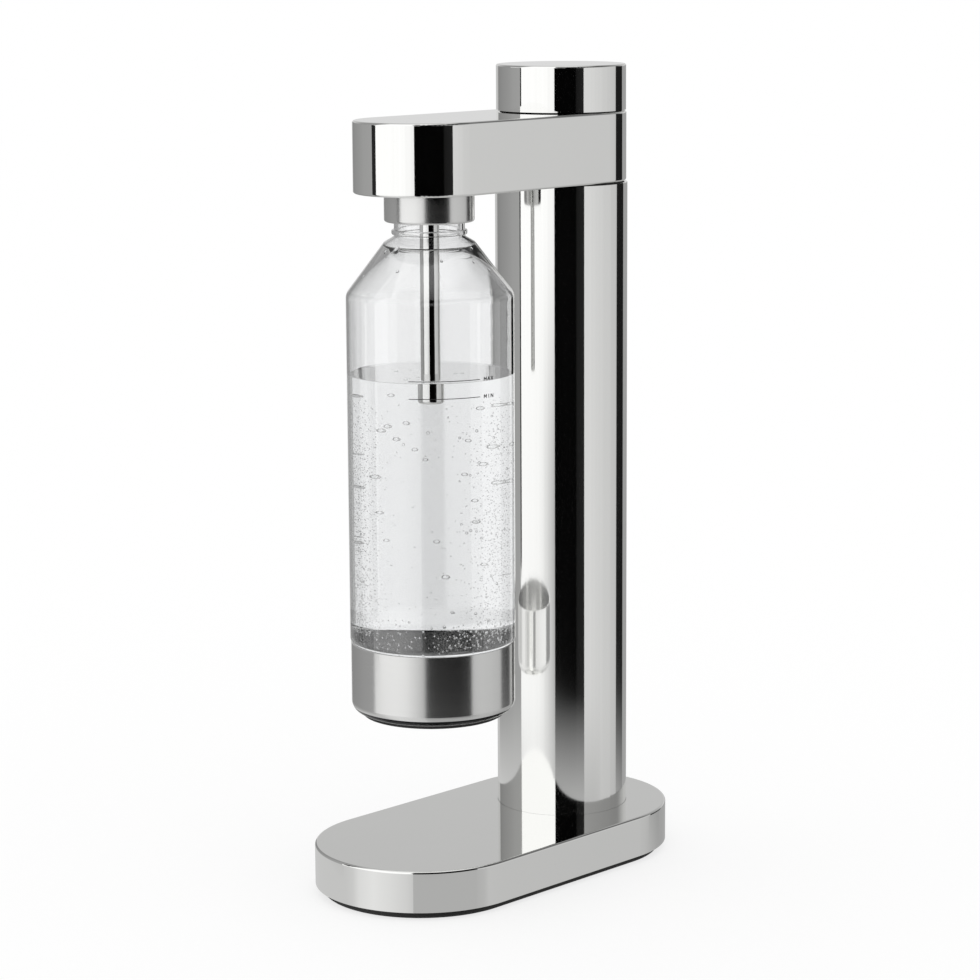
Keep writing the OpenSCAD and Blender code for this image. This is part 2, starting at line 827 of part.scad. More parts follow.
foot_pad();
base_plate();
base_shell();
column_flange();
column_tube();
cylinder_guide();
arm_spigot();
arm_shell();
arm_cover();
head_plate();
valve_block();
valve_seal();
plunger_guide();
knob_bush();
gas_tube();
nozzle_block();
relief_valve();
bottle_collar();
thread_insert();
nozzle_tube();
nozzle_tip();
knob_shell();
knob_hub();
knob_cam();
plunger();
return_spring();
gas_cylinder();
cylinder_valve();
valve_pin();
bottle_seal();
bottle_body();
bottle_cup();
bottle_foot_ring();
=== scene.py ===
import math
import random

import bpy
import bmesh
from mathutils import Matrix, Vector


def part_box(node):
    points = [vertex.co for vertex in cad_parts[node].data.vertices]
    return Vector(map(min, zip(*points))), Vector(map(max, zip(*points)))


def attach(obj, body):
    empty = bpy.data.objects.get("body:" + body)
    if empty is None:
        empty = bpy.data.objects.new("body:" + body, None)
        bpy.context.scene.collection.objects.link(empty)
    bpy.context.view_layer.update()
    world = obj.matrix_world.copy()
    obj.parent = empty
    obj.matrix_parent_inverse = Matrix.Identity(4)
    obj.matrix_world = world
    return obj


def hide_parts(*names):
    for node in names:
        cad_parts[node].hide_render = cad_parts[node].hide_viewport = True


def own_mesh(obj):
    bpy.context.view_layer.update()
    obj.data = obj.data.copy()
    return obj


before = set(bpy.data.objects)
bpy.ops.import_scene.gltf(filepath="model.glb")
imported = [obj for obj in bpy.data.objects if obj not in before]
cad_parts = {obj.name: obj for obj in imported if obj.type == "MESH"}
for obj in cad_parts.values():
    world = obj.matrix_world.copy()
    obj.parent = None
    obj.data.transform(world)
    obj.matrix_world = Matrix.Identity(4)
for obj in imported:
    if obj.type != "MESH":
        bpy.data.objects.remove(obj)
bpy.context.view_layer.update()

# The camera stands where the photograph was taken from, a little above the knob and to the
# right of the bottle. Its place, its turn and its lens were solved from the object's edges.
MM = 0.001
camera_place = Vector((1087.2, -1149.0, 490.65)) * MM
camera_heading = math.radians(43.464)
camera_pitch = math.radians(10.266)
camera_roll = math.radians(-0.318)
camera_data = bpy.data.cameras.new("camera")
camera_data.sensor_fit = "HORIZONTAL"
camera_data.sensor_width = 36.0
camera_data.lens = 112.56
camera_data.clip_start = 0.05
camera_data.clip_end = 60.0
forward = Vector((
    -math.sin(camera_heading) * math.cos(camera_pitch),
    math.cos(camera_heading) * math.cos(camera_pitch),
    -math.sin(camera_pitch),
))
level_right = Vector((math.cos(camera_heading), math.sin(camera_heading), 0))
level_up = level_right.cross(forward)
right = math.cos(camera_roll) * level_right + math.sin(camera_roll) * level_up
up = -math.sin(camera_roll) * level_right + math.cos(camera_roll) * level_up
camera = bpy.data.objects.new("camera", camera_data)
camera.matrix_world = Matrix((
    (right.x, up.x, -forward.x, camera_place.x),
    (right.y, up.y, -forward.y, camera_place.y),
    (right.z, up.z, -forward.z, camera_place.z),
    (0, 0, 0, 1),
))
bpy.context.scene.collection.objects.link(camera)
bpy.context.scene.camera = camera
bpy.context.scene.view_settings.view_transform = "Standard"

# The studio: a plain white room for everything but mirrors. Polished metal sees what stands
# round a product photographer: a softbox at the left, the dark gap at the camera, a grey wall
# at the right with a black flag behind it, and a grey back. Angles run from the camera.
camera_azimuth = 42.1
studio = bpy.data.worlds.new("studio")
bpy.context.scene.world = studio
studio.use_nodes = True
room = studio.node_tree
room.nodes.clear()


def add_math(tree, operation, *values):
    node = tree.nodes.new("ShaderNodeMath")
    node.operation = operation
    for socket, value in zip(node.inputs, values):
        if isinstance(value, (int, float)):
            socket.default_value = value
        else:
            tree.links.new(value, socket)
    return node.outputs[0]


def room_ramp(value, stops, name):
    node = room.nodes.new("ShaderNodeValToRGB")
    node.name = name
    elements = node.color_ramp.elements
    elements.remove(elements[-1])
    for i, (place, grey) in enumerate(stops):
        element = elements[0] if i == 0 else elements.new(place)
        element.position = place
        element.color = (grey, grey, grey, 1)
    room.links.new(value, node.inputs[0])
    return node.outputs[0]


def round_stops(stops):
    return [((angle + 180) / 360, grey) for angle, grey in stops]


def rise_stops(stops):
    return [((angle + 90) / 180, grey) for angle, grey in stops]


def room_mix(share, a, b):
    node = room.nodes.new("ShaderNodeMixRGB")
    for socket, value in zip(node.inputs, (share, a, b)):
        room.links.new(value, socket)
    return node.outputs[0]


direction = room.nodes.new("ShaderNodeTexCoord").outputs["Generated"]
split = room.nodes.new("ShaderNodeSeparateXYZ")
room.links.new(direction, split.inputs[0])
azimuth = add_math(room, "ARCTAN2", split.outputs["X"],
                   add_math(room, "MULTIPLY", split.outputs["Y"], -1.0))
off_camera = add_math(room, "SUBTRACT", azimuth, math.radians(camera_azimuth))
wrapped = add_math(room, "WRAP", off_camera, math.pi, -math.pi)
turn = add_math(room, "ADD", add_math(room, "DIVIDE", wrapped, 2 * math.pi), 0.5)
height = add_math(room, "ARCSINE", split.outputs["Z"])
rise = add_math(room, "ADD", add_math(room, "DIVIDE", height, math.pi), 0.5)

# Each ramp goes once round the room, from an angle in degrees to a grey. The shares further down
# go from straight down to straight up, and say at which height one ramp hands over to another.
left_wall = ((-180, 0.62), (-139, 0.50), (-136, 0.25), (-116, 0.27), (-100.6, 0.29))
right_wall = ((30.2, 0.75), (59, 0.716), (76, 0.67), (95, 0.62), (112.7, 0.56), (113.3, 0.012),
              (138.6, 0.012), (139.2, 0.36), (180, 0.36))
walls = room_ramp(turn, round_stops((
    *left_wall, (-100, 1.12), (-28, 1.10), (-18, 1.05), (-11.6, 0.98), (-6.5, 0.95),
    (-5.5, 0.001), (28.4, 0.001), (29.6, 0.014), *right_wall,
)), "walls")
low_walls = room_ramp(turn, round_stops((
    *left_wall, (-100, 1.08), (-42, 1.04), (-35, 0.97), (-27.6, 0.81), (-20.5, 0.67),
    (-12.5, 0.46), (-6.5, 0.40), (-5.5, 0.009), (28.4, 0.010), (29.6, 0.03), *right_wall,
)), "low_walls")
table = room_ramp(turn, round_stops((
    (-180, 0.50), (-143, 0.62), (-88, 0.60), (-78, 0.64), (-70, 0.76), (-52, 0.83), (-34, 0.77),
    (-15, 0.68), (-8, 0.61), (-3, 0.49), (21, 0.47), (58, 0.46), (70, 0.50), (76, 0.56),
    (95, 0.55), (107, 0.51), (120, 0.45), (132, 0.40), (144, 0.38), (168, 0.41), (180, 0.50),
)), "table")
upper = room_ramp(turn, round_stops((
    (-180, 0.45), (-120, 0.30), (-77.6, 0.26), (-77.0, 1.15),
    (-11.6, 1.15), (-9, 0.42), (40, 0.34), (112, 0.26), (125, 0.28), (180, 0.45),
)), "upper")
crown = room_ramp(turn, round_stops((
    (-180, 0.45), (-120, 0.30), (-77.6, 0.26), (-77.0, 1.15),
    (-11.6, 1.15), (-10.7, 0.001), (40.4, 0.004), (41.5, 0.02), (112, 0.02), (125, 0.25),
    (180, 0.45),
)), "crown")
back_share = room_ramp(turn, round_stops((
    (-180, 1.0), (-150, 1.0), (-120, 0.0), (120, 0.0), (150, 1.0), (180, 1.0),
)), "back_share")
back = room_ramp(rise, rise_stops((
    (0, 0.72), (5, 0.70), (10, 0.62), (17, 0.54), (30, 0.42), (50, 0.34),
)), "back")
table_share = room_ramp(rise, rise_stops(((-16.4, 1.0), (-14.2, 0.0))), "table_share")
upper_share = room_ramp(rise, rise_stops(((6, 0.0), (12, 1.0))), "upper_share")
behind_share = room_ramp(rise, rise_stops(((0.2, 0.0), (1.5, 1.0))), "behind_share")
low_share = room_ramp(rise, rise_stops(((-10, 1.0), (-6, 0.0))), "low_share")
crown_share = room_ramp(rise, rise_stops(((27, 0.0), (33, 1.0))), "crown_share")
ceiling_share = room_ramp(rise, rise_stops(((54, 0.0), (62, 1.0))), "ceiling_share")
streaks = room.nodes.new("ShaderNodeTexNoise")
streaks.noise_dimensions = "1D"
streaks.inputs["Scale"].default_value = 60
streaks.inputs["Detail"].default_value = 3
room.links.new(turn, streaks.inputs["W"])
streak_depth = 0.08
streak_shade = add_math(room, "MULTIPLY", streaks.outputs["Fac"], streak_depth)
streak_shade = add_math(room, "ADD", streak_shade, 1 - streak_depth / 2)
wall_light = room.nodes.new("ShaderNodeVectorMath")
wall_light.operation = "SCALE"
room.links.new(room_mix(low_share, walls, low_walls), wall_light.inputs[0])
room.links.new(streak_shade, wall_light.inputs["Scale"])
ceiling = room.nodes.new("ShaderNodeRGB")
ceiling.outputs[0].default_value = (0.85, 0.85, 0.85, 1)
seen = room_mix(table_share, wall_light.outputs[0], table)
seen = room_mix(upper_share, seen, upper)
seen = room_mix(crown_share, seen, crown)
seen = room_mix(add_math(room, "MULTIPLY", back_share, behind_share), seen, back)
seen = room_mix(ceiling_share, seen, ceiling.outputs[0])
paths = room.nodes.new("ShaderNodeLightPath")
white_light = room.nodes.new("ShaderNodeBackground")
white_light.inputs["Color"].default_value = (1, 1, 1, 1)
mirrored_light = room.nodes.new("ShaderNodeBackground")
room.links.new(seen, mirrored_light.inputs["Color"])
room_light = room.nodes.new("ShaderNodeMixShader")
in_mirrors = add_math(room, "GREATER_THAN", paths.outputs["Glossy Depth"], 0.5)
room.links.new(in_mirrors, room_light.inputs[0])
room.links.new(white_light.outputs[0], room_light.inputs[1])
room.links.new(mirrored_light.outputs[0], room_light.inputs[2])
room_out = room.nodes.new("ShaderNodeOutputWorld")
room.links.new(room_light.outputs[0], room_out.inputs[0])

# The floor is a white board. It keeps a faint contact shadow, and mirrors don't see it,
# because the studio above already holds the table that they show. From below it is open, so
# that the underside shows.
floor_r = 6.0
floor_drop = 0.05 * MM
floor_glow = 0.72
floor_form = bmesh.new()
bmesh.ops.create_circle(floor_form, cap_ends=True, segments=96, radius=floor_r)
bmesh.ops.translate(floor_form, verts=floor_form.verts, vec=(0, 0, -floor_drop))
floor_mesh = bpy.data.meshes.new("floor")
floor_form.to_mesh(floor_mesh)
floor_form.free()
floor = bpy.data.objects.new("floor", floor_mesh)
bpy.context.scene.collection.objects.link(floor)
floor.visible_glossy = False
board = bpy.data.materials.new("floor_board")
board.use_nodes = True
board_tree = board.node_tree
board_tree.nodes.clear()
board_white = board_tree.nodes.new("ShaderNodeBsdfDiffuse")
board_white.inputs["Color"].default_value = (1, 1, 1, 1)
board_glow = board_tree.nodes.new("ShaderNodeEmission")
board_paths = board_tree.nodes.new("ShaderNodeLightPath")
board_share = add_math(board_tree, "MULTIPLY", board_paths.outputs["Is Camera Ray"], floor_glow)
board_mix = board_tree.nodes.new("ShaderNodeMixShader")
board_tree.links.new(board_share, board_mix.inputs[0])
board_tree.links.new(board_white.outputs[0], board_mix.inputs[1])
board_tree.links.new(board_glow.outputs[0], board_mix.inputs[2])
board_side = board_tree.nodes.new("ShaderNodeNewGeometry")
board_clear = board_tree.nodes.new("ShaderNodeBsdfTransparent")
board_open = board_tree.nodes.new("ShaderNodeMixShader")
board_tree.links.new(board_side.outputs["Backfacing"], board_open.inputs[0])
board_tree.links.new(board_mix.outputs[0], board_open.inputs[1])
board_tree.links.new(board_clear.outputs[0], board_open.inputs[2])
board_out = board_tree.nodes.new("ShaderNodeOutputMaterial")
board_tree.links.new(board_open.outputs[0], board_out.inputs[0])
floor_mesh.materials.append(board)

# Cards: the black flag at the right, and a black and a grey one at the left. They stand so near
# that column and arm see them at different angles, so they are built, and only mirrors see them.
card_grey = bpy.data.materials.new("card_grey")
card_grey.use_nodes = True
card_grey.cycles.emission_sampling = "NONE"
card_tree = card_grey.node_tree
card_tree.nodes.clear()
card_shade = card_tree.nodes.new("ShaderNodeAttribute")
card_shade.attribute_name = "shade"
card_glow = card_tree.nodes.new("ShaderNodeEmission")
card_out = card_tree.nodes.new("ShaderNodeOutputMaterial")
card_tree.links.new(card_shade.outputs["Color"], card_glow.inputs["Color"])
card_tree.links.new(card_glow.outputs[0], card_out.inputs[0])

# The left flag shows in a first mirror only, because the base would show it again.
once_grey = card_grey.copy()
once_grey.name = "once_grey"
once_tree = once_grey.node_tree
once_paths = once_tree.nodes.new("ShaderNodeLightPath")
seen_again = add_math(once_tree, "GREATER_THAN", once_paths.outputs["Glossy Depth"], 1.5)
once_open = once_tree.nodes.new("ShaderNodeBsdfTransparent")
once_mix = once_tree.nodes.new("ShaderNodeMixShader")
once_tree.links.new(seen_again, once_mix.inputs[0])
once_tree.links.new(once_tree.nodes["Emission"].outputs[0], once_mix.inputs[1])
once_tree.links.new(once_open.outputs[0], once_mix.inputs[2])
once_tree.links.new(once_mix.outputs[0], once_tree.nodes["Material Output"].inputs[0])

# Up to the table's edge a card is grey like the table, and from there up it has its own shades.
# The farther a card is from the column, the lower is the edge. Lengths are in millimetres.
card_top = 440
card_columns = 11
column_y = 54
edge_low = 40
edge_low_fall = 0.278
edge_high = 97
edge_high_fall = 0.2475


def card_value(shades, share):
    for (start, grey), (end, after) in zip(shades, shades[1:]):
        if share <= end:
            return grey + (after - grey) * (share - start) / (end - start)
    return shades[-1][1]


def studio_card(name, material, start, end, shades, table_grey, foot_level=-600, foot_fall=0):
    form = bmesh.new()
    shade = form.verts.layers.float_color.new("shade")
    shares = {i / (card_columns - 1) for i in range(card_columns)} | {share for share, grey in shades}
    columns = []
    for share in sorted(shares):
        x = start[0] + (end[0] - start[0]) * share
        y = start[1] + (end[1] - start[1]) * share
        away = math.hypot(x, y - column_y)
        foot = foot_level - foot_fall * away
        table_low = max(foot + 1, edge_low - edge_low_fall * away)
        table_high = max(foot + 2, edge_high - edge_high_fall * away)
        column = []
        for z, lit in ((foot, False), (table_low, False), (table_high, True), (card_top, True)):
            vert = form.verts.new((x * MM, y * MM, z * MM))
            value = card_value(shades, share) if lit else table_grey
            vert[shade] = (value, value, value, 1)
            column.append(vert)
        columns.append(column)
    for column, after in zip(columns, columns[1:]):
        for i in range(len(column) - 1):
            form.faces.new((column[i], after[i], after[i + 1], column[i + 1]))
    mesh = bpy.data.meshes.new(name)
    form.to_mesh(mesh)
    form.free()
    mesh.materials.append(material)
    card = bpy.data.objects.new(name, mesh)
    bpy.context.scene.collection.objects.link(card)
    card.visible_camera = False
    card.visible_diffuse = False
    card.visible_transmission = False
    card.visible_volume_scatter = False
    card.visible_shadow = False


studio_card("flag_right", card_grey, (517.6, -821), (350.5, -3.6),
            ((0, 0.001), (0.87, 0.001), (0.89, 0.010), (1, 0.017)), 0.46)
studio_card("flag_left", once_grey, (-435.1, -666.6), (-230.3, -310.4),
            ((0, 0.02), (1, 0.02)), 0.02, foot_level=166.5, foot_fall=0.2105)
studio_card("screen_left", card_grey, (-230.3, -310.4), (-401.8, 138.7),
            ((0, 0.37), (0.28, 0.35), (0.31, 0.34), (0.49, 0.31), (0.65, 0.29), (0.85, 0.26), (1, 0.25)),
            0.60)

# Foot pad: a moulded slab of black rubber that the base stands on. Its skin is matte, with the
# fine grain of the mould. The same rubber makes the washer and the ring that seals the bottle.


def new_material(name, colour, metallic, roughness):
    material = bpy.data.materials.new(name)
    material.use_nodes = True
    shader = material.node_tree.nodes["Principled BSDF"]
    shader.inputs["Base Color"].default_value = (*colour, 1)
    shader.inputs["Metallic"].default_value = metallic
    shader.inputs["Roughness"].default_value = roughness
    return material, shader


def new_effect(name, inputs, outputs):
    group = bpy.data.node_groups.new(name, "ShaderNodeTree")
    for label, default in inputs:
        kind = "NodeSocketFloat" if isinstance(default, float) else "NodeSocketVector"
        socket = group.interface.new_socket(label, in_out="INPUT", socket_type=kind)
        socket.default_value = default
    for label in outputs:
        group.interface.new_socket(label, in_out="OUTPUT", socket_type="NodeSocketFloat")
    return group, group.nodes.new("NodeGroupInput"), group.nodes.new("NodeGroupOutput")


def place_effect(material, group, **values):
    node = material.node_tree.nodes.new("ShaderNodeGroup")
    node.node_tree = group
    for label, value in values.items():
        node.inputs[label].default_value = value
    return node


def vary(material, mask, socket, low, high):
    tree = material.node_tree
    if isinstance(low, tuple):
        node = tree.nodes.new("ShaderNodeMixRGB")
        node.inputs[1].default_value = (*low, 1)
        node.inputs[2].default_value = (*high, 1)
        tree.links.new(mask, node.inputs[0])
    else:
        node = tree.nodes.new("ShaderNodeMapRange")
        node.inputs["To Min"].default_value = low
        node.inputs["To Max"].default_value = high
        tree.links.new(mask, node.inputs["Value"])
    tree.links.new(node.outputs[0], socket)


def emboss(material, shader, height, distance, strength=1.0):
    node = material.node_tree.nodes.new("ShaderNodeBump")
    node.inputs["Distance"].default_value = distance
    node.inputs["Strength"].default_value = strength
    material.node_tree.links.new(height, node.inputs["Height"])
    material.node_tree.links.new(node.outputs[0], shader.inputs["Normal"])


def dress(names, material):
    for name in names:
        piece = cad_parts[name]
        piece.data.materials.clear()
        piece.data.materials.append(material)
        for polygon in piece.data.polygons:
            polygon.material_index = 0


skin, skin_in, skin_out = new_effect(
    "moulded_skin", (("Grain size", 900.0), ("Patch size", 40.0)), ("Grain", "Patches"))
skin_place = skin.nodes.new("ShaderNodeTexCoord")
for label, detail, target in (("Grain size", 2.0, "Grain"), ("Patch size", 4.0, "Patches")):
    cells = skin.nodes.new("ShaderNodeTexNoise")
    cells.inputs["Detail"].default_value = detail
    skin.links.new(skin_place.outputs["Object"], cells.inputs["Vector"])
    skin.links.new(skin_in.outputs[label], cells.inputs["Scale"])
    skin.links.new(cells.outputs["Fac"], skin_out.inputs[target])

black_rubber, rubber = new_material("black_rubber", (0.02, 0.02, 0.02), 0.0, 0.6)
rubber_skin = place_effect(black_rubber, skin)
vary(black_rubber, rubber_skin.outputs["Patches"], rubber.inputs["Base Color"],
     (0.006, 0.006, 0.006), (0.014, 0.014, 0.013))
vary(black_rubber, rubber_skin.outputs["Grain"], rubber.inputs["Roughness"], 0.5, 0.75)
emboss(black_rubber, rubber, rubber_skin.outputs["Grain"], 0.0001)
dress(["foot_pad", "bottle_foot_ring", "valve_seal", "bottle_seal"], black_rubber)

# Base: a drawn stainless shell, ground and buffed until it mirrors the room, as the column,
# the arm, the knob and the nozzle are. Only faint haze and hairlines from the wheel are left.
haze, haze_in, haze_out = new_effect(
    "buffed_haze", (("Haze size", 18.0), ("Hairlines", 700.0)), ("Haze", "Lines"))
haze_place = haze.nodes.new("ShaderNodeTexCoord")
clouds = haze.nodes.new("ShaderNodeTexNoise")
clouds.inputs["Detail"].default_value = 5.0
haze.links.new(haze_place.outputs["Object"], clouds.inputs["Vector"])
haze.links.new(haze_in.outputs["Haze size"], clouds.inputs["Scale"])
haze.links.new(clouds.outputs["Fac"], haze_out.inputs["Haze"])
hair_place = haze.nodes.new("ShaderNodeMapping")
hair_place.inputs["Scale"].default_value = (0.06, 0.06, 1.0)
haze.links.new(haze_place.outputs["Object"], hair_place.inputs["Vector"])
hairs = haze.nodes.new("ShaderNodeTexNoise")
hairs.inputs["Detail"].default_value = 2.0
haze.links.new(hair_place.outputs[0], hairs.inputs["Vector"])
haze.links.new(haze_in.outputs["Hairlines"], hairs.inputs["Scale"])
haze.links.new(hairs.outputs["Fac"], haze_out.inputs["Lines"])


def polished(name, hairlines, least=0.025, most=0.05):
    material, shader = new_material(name, (0.90, 0.90, 0.885), 1.0, 0.04)
    buffing = place_effect(material, haze, Hairlines=hairlines)
    vary(material, buffing.outputs["Haze"], shader.inputs["Base Color"],
         (0.885, 0.887, 0.872), (0.915, 0.915, 0.90))
    vary(material, buffing.outputs["Haze"], shader.inputs["Roughness"], least, most)
    emboss(material, shader, buffing.outputs["Lines"], 0.0000003)
    return material, shader


polished_steel = polished("polished_steel", 700.0)[0]
dress(["base_shell", "arm_shell", "knob_shell"], polished_steel)

# Base plate and column flange: zinc-plated steel inside the base, which also makes the plate
# and the plunger's guide in the arm. Rolled sheet, with a dull, faintly blotched plating.
plate_steel, plate = new_material("plate_steel", (0.55, 0.56, 0.57), 1.0, 0.35)
plating = place_effect(plate_steel, skin, **{"Grain size": 400.0, "Patch size": 60.0})
vary(plate_steel, plating.outputs["Patches"], plate.inputs["Base Color"],
     (0.46, 0.47, 0.48), (0.62, 0.63, 0.63))
vary(plate_steel, plating.outputs["Patches"], plate.inputs["Roughness"], 0.28, 0.46)
emboss(plate_steel, plate, plating.outputs["Grain"], 0.00003)
dress(["base_plate", "column_flange", "head_plate", "plunger_guide"], plate_steel)

# Column: a drawn tube, polished round its axis. The wheel's fine rings smear what it mirrors
# upward and downward, so the bands stay crisp and small reflections run out.


def ringed(material, shader, strength):
    tangent = material.node_tree.nodes.new("ShaderNodeTangent")
    tangent.direction_type = "RADIAL"
    tangent.axis = "Z"
    material.node_tree.links.new(tangent.outputs[0], shader.inputs["Tangent"])
    shader.inputs["Anisotropic"].default_value = strength
    shader.inputs["Anisotropic Rotation"].default_value = 0.25


column_steel, column_shader = polished("column_steel", 900.0, 0.05, 0.08)
ringed(column_steel, column_shader, 0.8)
dress(["column_tube"], column_steel)

# Moulded nylon: the guide in the column's foot, the spigot that shows as the dark gap under
# the arm, the arm's cover, the knob's bush and its ribbed core.
black_nylon, nylon = new_material("black_nylon", (0.015, 0.015, 0.015), 0.0, 0.5)
nylon_skin = place_effect(black_nylon, skin, **{"Grain size": 1500.0, "Patch size": 30.0})
vary(black_nylon, nylon_skin.outputs["Patches"], nylon.inputs["Base Color"],
     (0.011, 0.011, 0.012), (0.02, 0.02, 0.021))
vary(black_nylon, nylon_skin.outputs["Grain"], nylon.inputs["Roughness"], 0.4, 0.58)
emboss(black_nylon, nylon, nylon_skin.outputs["Grain"], 0.00004)
dress(["cylinder_guide", "arm_spigot", "arm_cover", "knob_bush", "knob_hub"], black_nylon)

# Valve block, gas tube, nozzle block and valves: turned brass, which carries the fine rings
# of the lathe round each piece's own axis.
rings, rings_in, rings_out = new_effect(
    "turned_rings", (("Axis", (0.0, 0.0, 0.0)), ("Fineness", 900.0)), ("Rings", "Reach"))
rings_place = rings.nodes.new("ShaderNodeTexCoord")
from_axis = rings.nodes.new("ShaderNodeVectorMath")
from_axis.operation = "SUBTRACT"
rings.links.new(rings_place.outputs["Object"], from_axis.inputs[0])
rings.links.new(rings_in.outputs["Axis"], from_axis.inputs[1])
apart = rings.nodes.new("ShaderNodeSeparateXYZ")
rings.links.new(from_axis.outputs[0], apart.inputs[0])
flat = rings.nodes.new("ShaderNodeCombineXYZ")
rings.links.new(apart.outputs["X"], flat.inputs["X"])
rings.links.new(apart.outputs["Y"], flat.inputs["Y"])
reach = rings.nodes.new("ShaderNodeVectorMath")
reach.operation = "LENGTH"
rings.links.new(flat.outputs[0], reach.inputs[0])
side = rings.nodes.new("ShaderNodeVectorMath")
side.operation = "NORMALIZE"
rings.links.new(flat.outputs[0], side.inputs[0])
side_parts = rings.nodes.new("ShaderNodeSeparateXYZ")
rings.links.new(side.outputs[0], side_parts.inputs[0])
climb = add_math(rings, "ADD", apart.outputs["Z"], reach.outputs["Value"])
fine_climb = add_math(rings, "MULTIPLY", climb, rings_in.outputs["Fineness"])
lathe_place = rings.nodes.new("ShaderNodeCombineXYZ")
rings.links.new(side_parts.outputs["X"], lathe_place.inputs["X"])
rings.links.new(side_parts.outputs["Y"], lathe_place.inputs["Y"])
rings.links.new(fine_climb, lathe_place.inputs["Z"])
cuts = rings.nodes.new("ShaderNodeTexNoise")
cuts.inputs["Scale"].default_value = 1.6
cuts.inputs["Detail"].default_value = 4.0
rings.links.new(lathe_place.outputs[0], cuts.inputs["Vector"])
rings.links.new(cuts.outputs["Fac"], rings_out.inputs["Rings"])
rings.links.new(reach.outputs["Value"], rings_out.inputs["Reach"])

column_low, column_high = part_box("column_tube")
column_axis = (column_low + column_high) / 2
turned_brass, brass = new_material("turned_brass", (0.78, 0.62, 0.34), 1.0, 0.25)
brass_rings = place_effect(turned_brass, rings, Axis=column_axis, Fineness=2500.0)
vary(turned_brass, brass_rings.outputs["Rings"], brass.inputs["Base Color"],
     (0.70, 0.53, 0.27), (0.84, 0.69, 0.40))
vary(turned_brass, brass_rings.outputs["Rings"], brass.inputs["Roughness"], 0.18, 0.34)
emboss(turned_brass, brass, brass_rings.outputs["Rings"], 0.00002)
dress(["valve_block", "gas_tube", "nozzle_block", "relief_valve", "cylinder_valve"], turned_brass)

# Return spring and valve pin: drawn spring steel, dull between fine drawing marks. A copy of the
# spring, with a mesh of its own, stands for it and hangs from the plunger.
spring_steel, spring = new_material("spring_steel", (0.62, 0.63, 0.65), 1.0, 0.25)
drawing = place_effect(spring_steel, rings, Axis=column_axis, Fineness=1200.0)
vary(spring_steel, drawing.outputs["Rings"], spring.inputs["Base Color"],
     (0.52, 0.53, 0.55), (0.68, 0.69, 0.71))
vary(spring_steel, drawing.outputs["Rings"], spring.inputs["Roughness"], 0.2, 0.35)
dress(["return_spring", "valve_pin"], spring_steel)
spring_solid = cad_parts["return_spring"]
spring_coil = bpy.data.objects.new("spring_coil", spring_solid.data.copy())
spring_coil.matrix_world = spring_solid.matrix_world
bpy.context.scene.collection.objects.link(spring_coil)
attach(spring_coil, "plunger")
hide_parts("return_spring")
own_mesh(spring_coil)

# Acetal: the two halves of the face cam, and the threaded lining of the collar. White, waxy
# and a little translucent.
white_acetal, acetal = new_material("white_acetal", (0.88, 0.88, 0.86), 0.0, 0.4)
acetal_skin = place_effect(white_acetal, skin, **{"Grain size": 1800.0, "Patch size": 50.0})
vary(white_acetal, acetal_skin.outputs["Patches"], acetal.inputs["Base Color"],
     (0.83, 0.83, 0.80), (0.90, 0.90, 0.88))
vary(white_acetal, acetal_skin.outputs["Grain"], acetal.inputs["Roughness"], 0.32, 0.46)
emboss(white_acetal, acetal, acetal_skin.outputs["Grain"], 0.00002)
dress(["thread_insert", "knob_cam", "plunger"], white_acetal)

# Gas cylinder: spun aluminium under grey powder paint, which lies like fine orange peel. Only
# its foot shows, in the port under the base.
cylinder_paint, paint = new_material("cylinder_paint", (0.60, 0.62, 0.64), 0.0, 0.45)
peel = place_effect(cylinder_paint, skin, **{"Grain size": 700.0, "Patch size": 25.0})
vary(cylinder_paint, peel.outputs["Patches"], paint.inputs["Base Color"],
     (0.56, 0.58, 0.60), (0.64, 0.66, 0.68))
vary(cylinder_paint, peel.outputs["Grain"], paint.inputs["Roughness"], 0.36, 0.52)
emboss(cylinder_paint, paint, peel.outputs["Grain"], 0.00012)
dress(["gas_cylinder"], cylinder_paint)

# Nozzle: a polished steel tube that reaches down into the water, with a short tip. It has the
# same mirror finish as the base, the arm and the knob.
dress(["nozzle_tube", "nozzle_tip"], polished_steel)

# Collar round the bottle's mouth and cup on its foot: turned stainless, brushed round the
# axis with a fine belt. The brushing draws what they mirror out into upright bands.
bottle_low, bottle_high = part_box("bottle_body")
bottle_axis = (bottle_low + bottle_high) / 2


def brushed(name, colour, roughness, fineness):
    material, shader = new_material(name, colour, 1.0, roughness)
    belt = place_effect(material, rings, Axis=bottle_axis, Fineness=fineness)
    vary(material, belt.outputs["Rings"], shader.inputs["Base Color"],
         tuple(0.95 * c for c in colour), tuple(1.03 * c for c in colour))
    vary(material, belt.outputs["Rings"], shader.inputs["Roughness"],
         0.85 * roughness, 1.15 * roughness)
    emboss(material, shader, belt.outputs["Rings"], 0.000002)
    ringed(material, shader, 0.4)
    return material, shader, belt


satin_steel = brushed("satin_steel", (0.80, 0.80, 0.79), 0.24, 2200.0)[0]
dress(["bottle_collar"], satin_steel)
